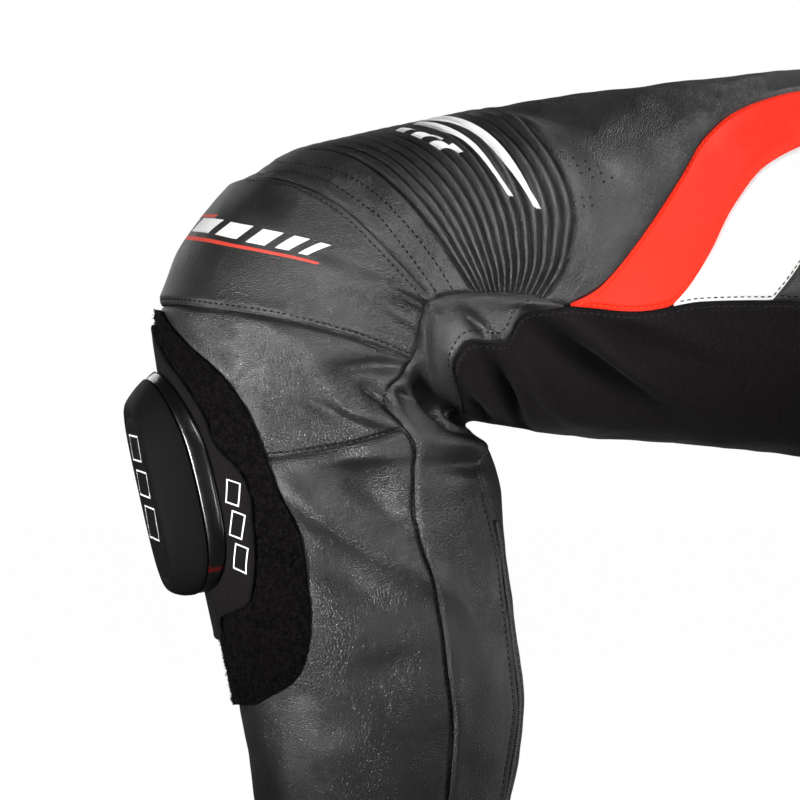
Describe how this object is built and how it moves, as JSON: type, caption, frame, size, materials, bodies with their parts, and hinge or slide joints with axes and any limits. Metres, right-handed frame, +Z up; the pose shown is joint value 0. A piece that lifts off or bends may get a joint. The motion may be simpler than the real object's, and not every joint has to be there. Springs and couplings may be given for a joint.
{
  "type": "motorcycle trousers",
  "caption": "Black leather riding trousers in a seated worn shape, with red and white thigh stripes, pleated stretch above the knee, and knee sliders.",
  "frame": {"origin": "centre of the waist opening", "axes": "+Z up, -Y the way the wearer faces, +X the wearer's left"},
  "size_m": [0.4204, 0.6841, 0.6106],
  "materials": {
    "black_leather": "satin, fine grain",
    "red_leather": "satin, fine grain",
    "white_leather": "satin, fine grain",
    "stretch_fabric": "matte woven stretch",
    "fastening_pile": "matte brushed loops",
    "flap_print": "smooth matte with pale printed bars",
    "slider_plastic": "satin grey face, gloss black base",
    "zip_tape": "matte woven tape with coil teeth",
    "zip_metal": "satin black enamel"
  },
  "bodies": {
    "trousers": {"shin_left": "black_leather", "shin_right": "black_leather", "knee_low_left": "black_leather", "knee_low_right": "black_leather", "knee_cap_left": "black_leather", "knee_cap_right": "black_leather", "knee_band_left": "black_leather", "knee_band_right": "black_leather", "pleats_left": "black_leather", "pleats_right": "black_leather", "thigh_front_left": "black_leather", "thigh_front_right": "black_leather", "hip_front_left": "black_leather", "hip_front_right": "black_leather", "hip_side_left": "black_leather", "hip_side_right": "black_leather", "seat_left": "black_leather", "seat_right": "black_leather", "gusset_outer_left": "black_leather", "gusset_outer_right": "black_leather", "gusset_inner_left": "black_leather", "gusset_inner_right": "black_leather", "calf_back_left": "black_leather", "calf_back_right": "black_leather", "calf_top_left": "black_leather", "calf_top_right": "black_leather", "waistband_left": "black_leather", "waistband_right": "black_leather", "stripe_red_left": "red_leather", "stripe_red_right": "red_leather", "stripe_white_left": "white_leather", "stripe_white_right": "white_leather", "stretch_back_left": "stretch_fabric", "stretch_back_right": "stretch_fabric", "pile_left": "fastening_pile", "pile_right": "fastening_pile", "slider_flap_left": "flap_print", "slider_flap_right": "flap_print", "slider_puck_left": "slider_plastic", "slider_puck_right": "slider_plastic", "calf_zip_left": "zip_tape", "calf_zip_right": "zip_tape", "zip_slider_left": "zip_metal", "zip_slider_right": "zip_metal", "fly_flap": "black_leather", "waist_tab": "black_leather", "waist_snap": "zip_metal"},
    "pull_left": {"zip_pull_left": "zip_metal"},
    "pull_right": {"zip_pull_right": "zip_metal"}
  },
  "joints": [
    {"name": "pull_left_swing", "type": "hinge", "parent": "trousers", "child": "pull_left", "pos_m": [0.13947, -0.34068, -0.53853], "axis": [0.9429, -0.3318, 0.029], "range_deg": [-12, 150]},
    {"name": "pull_right_swing", "type": "hinge", "parent": "trousers", "child": "pull_right", "pos_m": [-0.13947, -0.34068, -0.53853], "axis": [0.9429, 0.3318, -0.029], "range_deg": [-12, 150]}
  ]
}
